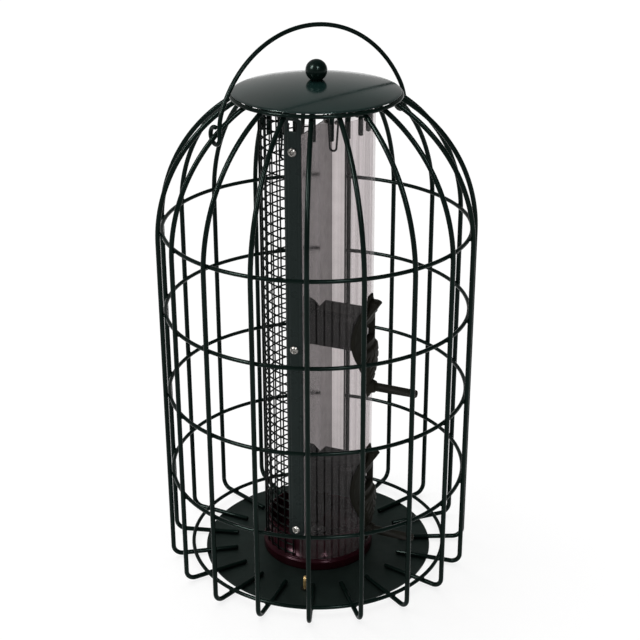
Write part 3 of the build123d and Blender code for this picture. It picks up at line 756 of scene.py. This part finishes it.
def window_distance(y, z, half_w, low, high, corner):
    """Signed distance to a round-cornered window, and the nearest point of its outline."""
    middle = (low + high) / 2
    across = abs(y) - (half_w - corner)
    up = abs(z - middle) - ((high - low) / 2 - corner)
    if across > 0 and up > 0:
        length = math.hypot(across, up)
        distance = length - corner
        near = (half_w - corner + across / length * corner, (high - low) / 2 - corner + up / length * corner)
    elif across > up:
        distance = across - corner
        near = (half_w, abs(z - middle))
    else:
        distance = up - corner
        near = (abs(y), (high - low) / 2)
    return distance, (math.copysign(near[0], y), middle + math.copysign(near[1], z - middle))


def bent_plate(bearing, lift, low, high, half_width, skin, back_r, window, window_r, cells):
    """A plate round the tube: a fine grid over its outline, with rims down to the tube and at its window."""
    columns, rows = cells
    reach = (high - low) / rows * 0.6
    flat = []
    for row in range(rows + 1):
        z = low + (high - low) * row / rows
        half = half_width(z)
        for column in range(columns + 1):
            y = half * (2 * column / columns - 1)
            distance, near = window_distance(y, z, *window)
            flat.append(near if abs(distance) < reach else (y, z))

    def stand(point, radius):
        out = direction(bearing + math.degrees(math.asin(point[0] / STRIP_R)))
        return out * (radius * MM) + Vector((0, 0, (lift + point[1]) * MM))

    vertices = [stand(point, skin(*point)) for point in flat]
    faces = []
    edges = {}
    for row in range(rows):
        for column in range(columns):
            a = row * (columns + 1) + column
            face = (a, a + 1, a + columns + 2, a + columns + 1)
            centre = [sum(flat[i][axis] for i in face) / 4 for axis in (0, 1)]
            if window_distance(*centre, *window)[0] < 0:
                continue
            faces.append(face)
            for k in range(4):
                pair = (face[k], face[(k + 1) % 4])
                if pair[::-1] in edges:
                    edges.pop(pair[::-1])
                else:
                    edges[pair] = True
    behind = {}
    for pair in edges:
        for i in pair:
            if i not in behind:
                inside = window_distance(*flat[i], *window)[0] < reach
                behind[i] = len(vertices)
                vertices.append(stand(flat[i], window_r if inside else back_r))
    for a, b in edges:
        faces.append((b, a, behind[a], behind[b]))
    return vertices, faces


def make_strip(name, bearing, coat):
    """A cover strip with rolled edges, two lengthwise creases and a window near its top."""
    height = STRIP_TOP_Z - STRIP_BOTTOM_Z

    def half_width(z):
        end = min(z, height - z)
        if end >= STRIP_CORNER_R:
            return STRIP_HALF_W
        return STRIP_HALF_W - STRIP_CORNER_R + math.sqrt(STRIP_CORNER_R**2 - (STRIP_CORNER_R - end)**2)

    def skin(y, _):
        crease = 0.32 * math.exp(-((abs(y) - 3.6) / 0.35)**2)
        roll = 0.45 * max(0.0, (abs(y) - 5.0))**2
        return STRIP_R - crease - roll

    window = (STRIP_HALF_W / 2, height - 9.0, height - 2.0, 1.0)   # half width, foot, head, corner
    vertices, faces = bent_plate(bearing, STRIP_BOTTOM_Z, 0.0, height, half_width, skin, STRIP_BACK_R,
                                 window, STRIP_BACK_R, (36, 420))
    finish_piece(f"{name}_plate", vertices, faces, coat, "cage", name)


def screw_head():
    """A pan head with a cross recess, standing on the plane it clamps."""
    rings = 22
    sides = 72
    vertices = [(0.0, 0.0, SCREW_HEAD_H - RECESS_DEPTH)]
    for ring in range(1, rings + 1):
        r = SCREW_HEAD_R * ring / rings
        for k in range(sides):
            turn = 2 * math.pi * k / sides
            x, y = r * math.cos(turn), r * math.sin(turn)
            slim, wide = sorted((abs(x), abs(y)))
            dip = soft_step((RECESS_HALF_W - slim) / 0.18) * soft_step((RECESS_REACH - wide) / 0.25)
            dome = SCREW_HEAD_H * (1 - 0.75 * (r / SCREW_HEAD_R)**3)
            vertices.append((x, y, dome - RECESS_DEPTH * dip))
    faces = [(0, 1 + k, 1 + (k + 1) % sides) for k in range(sides)]
    for ring in range(rings - 1):
        for k in range(sides):
            a = 1 + ring * sides
            k2 = (k + 1) % sides
            faces.append((a + k, a + sides + k, a + sides + k2, a + k2))
    skirt = 1 + (rings - 1) * sides
    for k in range(sides):
        vertices.append((*vertices[skirt + k][:2], 0.0))
    for k in range(sides):
        k2 = (k + 1) % sides
        faces.append((skirt + k, skirt + sides + k, skirt + sides + k2, skirt + k2))
    faces.append(tuple(skirt + sides + k for k in range(sides))[::-1])
    return vertices, faces


def make_screws(name, bearing, nickel):
    out = direction(bearing)
    side = Vector((0, 0, 1)).cross(out)
    head_vertices, head_faces = screw_head()
    parts = []
    for number, share in enumerate(SCREW_HEIGHT_SHARES):
        seat = out * ((STRIP_R + 0.05) * MM) + Vector((0, 0, share * STRIP_TOP_Z * MM))
        turn = math.radians(20.0 + 33.0 * number)
        across = side * math.cos(turn) + Vector((0, 0, 1)) * math.sin(turn)
        up = out.cross(across)
        parts.append(([seat + (across * x + up * y + out * z) * MM for x, y, z in head_vertices], head_faces))
        parts.append(wire([seat, seat - out * (SCREW_REACH * MM)], SCREW_SHANK_R * MM, 16))
    vertices, faces = merged(parts)
    finish_piece(f"{name}_heads", vertices, faces, nickel, "cage", name)


# Seed ports and perches

def leaf_half_width(z):
    return smooth_curve(PORT_HALF_WIDTHS, z)


def port_skin(y, z):
    """The port's outer face: a soft-edged leaf, split at its tip, with a grooved scoop below the mouth."""
    half = leaf_half_width(z)
    edge = min(half - abs(y), PORT_TOP - z, z - PORT_FOOT)
    r = PORT_SKIN_R - 0.6 * max(0.0, 1 - edge / 1.0)**2
    r -= 0.55 * soft_step((z - 57.0) / 6.0) * math.exp(-(y / 0.6)**2)
    r += 0.16 * math.exp(-((half - abs(y) - 2.2) / 0.5)**2)
    if SCOOP_LOW < z <= SCOOP_HIGH:
        scoop_half = SCOOP_WIDTH_SHARE * half
        side = soft_step((scoop_half - abs(y)) / 3.2)
        front = smooth_curve(SCOOP_FRONT, z) - 0.9 * max(0.0, (z - SCOOP_HIGH + 1.2) / 1.2)**2
        vein = math.cos(2 * math.pi * (z + VEIN_SLOPE * abs(y)) / VEIN_PITCH)
        inside = soft_step(abs(y) / 3.5) * soft_step((SCOOP_HIGH - 3.0 - z) / 2.0)
        grooves = 0.55 * max(0.0, vein)**2 * inside
        midrib = 0.25 * math.exp(-(y / 0.7)**2)
        r += side * (front - r - grooves + midrib)
    return r


def hood_shape():
    """The flap over the mouth as stacked level sections, in (out, across, up) millimetres."""
    sections = []
    for height in (0.0, 1.6, 3.2, 4.8, 6.4, 8.0, 9.2, 10.2, 11.2, 12.0, 12.6):
        z = HOOD_LOW + height
        climb = min(1.0, height / (HOOD_LIP_AT - HOOD_LOW))
        out = PORT_SKIN_R + (HOOD_R - PORT_SKIN_R) * climb**1.15
        over = max(0.0, (z - HOOD_LIP_AT) / (HOOD_TOP - HOOD_LIP_AT))
        out -= 1.9 * over**3
        narrowing = (height / (HOOD_TOP - HOOD_LOW))**0.75
        half = MOUTH_HALF_W + (HOOD_LIP_HALF_W - MOUTH_HALF_W) * narrowing - 0.6 * over**3
        sections.append((z, out, half))
    vertices = []
    for z, out, half in sections:
        corner = min(1.6, 0.45 * half, 0.45 * (out - PORT_BACK_R))
        outline = [(PORT_BACK_R, -half)]
        outline += arc((out - corner, -half + corner), corner, -math.pi / 2, 0.0, 6)
        outline += arc((out - corner, half - corner), corner, 0.0, math.pi / 2, 6)
        outline.append((PORT_BACK_R, half))
        vertices += [(x, y, z) for x, y in outline]
    count = len(outline)
    faces = []
    for k in range(len(sections) - 1):
        for i in range(count):
            i2 = (i + 1) % count
            a, b = k * count, (k + 1) * count
            faces.append((a + i, a + i2, b + i2, b + i))
    faces.append(tuple(range(count))[::-1])
    faces.append(tuple(range((len(sections) - 1) * count, len(sections) * count)))
    return vertices, faces


def along_perch(profile, start, height):
    """A shape turned from a (radius, distance) outline, laid along +X."""
    vertices, faces = turned_shape(profile, 56)
    return [Vector((start * MM + v.z, v.y, height * MM - v.x)) for v in vertices], faces


def make_ports(plastic):
    window = (MOUTH_HALF_W, MOUTH_LOW, MOUTH_HIGH, MOUTH_CORNER_R)
    hood_vertices, hood_faces = hood_shape()
    for name, height in PERCH_HEIGHTS.items():
        plate = bent_plate(90.0, height, PORT_FOOT, PORT_TOP, leaf_half_width, port_skin, PORT_BACK_R,
                           window, SLEEVE_END_R, (110, 220))
        hood = [Vector((x, y, height + z)) * MM for x, y, z in hood_vertices]
        vertices, faces = merged([plate, (hood, hood_faces), along_perch(PERCH_BOSS, PORT_BACK_R, height)])
        finish_piece(f"{name}_port_moulding", vertices, faces, plastic, "cage", f"{name}_port")


def make_perches(plastic):
    for name, height in PERCH_HEIGHTS.items():
        start, tip = (v[0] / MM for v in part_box(f"{name}_perch"))
        length = tip - start
        tip_r = PERCH_R - 0.3
        nose = length - PERCH_NOSE_R
        profile = [(0.0, 0.0), (PERCH_R, 0.0), (PERCH_R, 0.12 * length), (tip_r, nose)]
        profile += arc((tip_r - PERCH_NOSE_R, nose), PERCH_NOSE_R, 0.0, math.pi / 2, 8)
        profile += [(0.0, length)]
        vertices, faces = along_perch(profile, start, height)
        finish_piece(f"{name}_perch_peg", vertices, faces, plastic, "cage", f"{name}_perch")


# Base cup and tray pin

def make_cup(plastic):
    """The base cup with a rounded foot, step and rim, and the boss that stands on the tray."""
    foot_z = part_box("base_cup")[0][2] / MM
    floor_low = CUP_FLANGE_TOP_Z - CUP_WALL
    seat_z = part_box("tray")[1][2] / MM + 0.05
    inner_r = CUP_SPIGOT_R - CUP_WALL
    foot_round = 0.7
    step_round = 0.8
    bevel = 0.4
    inside_round = 2.0
    profile = [(CUP_BOLT_R, seat_z), (CUP_BOSS_R, seat_z), (CUP_BOSS_R, floor_low)]
    profile += [(CUP_FLANGE_R - 2 * CUP_WALL, floor_low), (CUP_FLANGE_R - CUP_WALL, foot_z)]
    profile += arc((CUP_FLANGE_R - foot_round, foot_z + foot_round), foot_round, -math.pi / 2, 0.0, 6)
    step_z = CUP_FLANGE_TOP_Z - CUP_STEP_H - bevel
    profile += arc((CUP_FLANGE_R - step_round, step_z), step_round, 0.0, math.pi / 2, 6)
    profile += [(CUP_STEP_R, CUP_FLANGE_TOP_Z - bevel), (CUP_STEP_R - bevel, CUP_FLANGE_TOP_Z)]
    profile += [(CUP_SPIGOT_R, CUP_FLANGE_TOP_Z)]
    profile += arc((CUP_SPIGOT_R - CUP_WALL / 2, CUP_RIM_Z - CUP_WALL / 2), CUP_WALL / 2, 0.0, math.pi, 10)
    corner = (inner_r - inside_round, CUP_FLANGE_TOP_Z + inside_round)
    profile += arc(corner, inside_round, 0.0, -math.pi / 2, 6)
    profile += [(CUP_BOLT_R, CUP_FLANGE_TOP_Z)]
    vertices, faces = turned_shape(profile, 192)
    finish_piece("base_cup_moulding", vertices, faces, plastic, "cage", "base_cup")


def make_pin(brass):
    """A flattened brass wire eye with two legs down into its grommet."""
    low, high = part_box("tray_pin")
    centre = (Vector(low) + Vector(high)) / 2
    foot = Vector((centre.x, centre.y, 0))
    out = foot.normalized()
    across = Vector((0, 0, 1)).cross(out)
    top = high[2] / MM - PIN_WIRE_R
    base = low[2] / MM + PIN_WIRE_R
    flat = [(-PIN_LEG_HALF_W, base), (-PIN_HALF_W, base + PIN_FLARE)]
    flat += arc((0.0, top - PIN_HALF_W), PIN_HALF_W, math.pi, 0.0, 14)
    flat += [(PIN_HALF_W, base + PIN_FLARE), (PIN_LEG_HALF_W, base)]
    path = [foot + out * (x * MM) + Vector((0, 0, z * MM)) for x, z in flat]
    vertices, faces = wire(path, PIN_WIRE_R * MM, 12)
    vertices = [v + across * (across.dot(v - foot) * 0.6) for v in vertices]
    finish_piece("tray_pin_eye", vertices, faces, brass, "cage", "tray_pin")


# Everything

make_camera()
make_stage()

cage_coat = powder_coat("cage_powder_coat", (0.0026, 0.0068, 0.0054), 0.20, specular=0.07)
lid_coat = powder_coat("lid_powder_coat", (0.0045, 0.0140, 0.0125), 0.14, coat=0.20, specular=0.27)
knob_coat = powder_coat("knob_powder_coat", (0.0025, 0.0080, 0.0065), 0.24, specular=0.12)
tray_coat = powder_coat("tray_powder_coat", (0.0085, 0.0130, 0.0115), 0.45, specular=0.10)
strip_coat = powder_coat("strip_powder_coat", (0.0062, 0.0086, 0.0088), 0.30, specular=0.18)
mesh_coat = powder_coat("mesh_coating", (0.0020, 0.0024, 0.0023), 0.38, specular=0.10)
nickel = metal("nickel_plate", (0.36, 0.35, 0.33), (0.20, 0.19, 0.18), 0.32, 0.85)
dark_steel = metal("dark_steel", (0.055, 0.054, 0.053), (0.030, 0.029, 0.029), 0.50, 0.4)
brass = metal("dull_brass", (0.66, 0.46, 0.20), (0.42, 0.28, 0.11), 0.34, 0.5)
galvanised = galvanised_material()
port_plastic = matte_plastic_material()
tunnel_plastic = tunnel_plastic_material()
cup_plastic = cup_plastic_material()
clear_plastic = clear_plastic_material()

make_cage(cage_coat)
make_mesh(mesh_coat)
make_lid(lid_coat, knob_coat)
make_clip(mesh_coat)
make_bail(cage_coat)
make_strip("front_strip", 0.0, strip_coat)
make_strip("rear_strip", 180.0, strip_coat)
make_screws("front_strip_screws", 0.0, nickel)
make_screws("rear_strip_screws", 180.0, nickel)
make_ports(port_plastic)
make_perches(port_plastic)
make_cup(cup_plastic)
make_pin(brass)

# CAD pieces that are shown as they are, each with its material
CARRIED_OVER = {
    "tray": tray_coat,
    "tray_pin_grommet": port_plastic,
    "base_bolt": dark_steel,
    "base_washer": dark_steel,
    "base_nut": dark_steel,
    "divider": galvanised,
    "clear_tube": clear_plastic,
    "upper_tunnel": tunnel_plastic,
    "lower_tunnel": tunnel_plastic,
    "knob_screw": nickel,
}
for node, material in CARRIED_OVER.items():
    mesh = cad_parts[node].data
    mesh.materials.clear()
    mesh.materials.append(material)
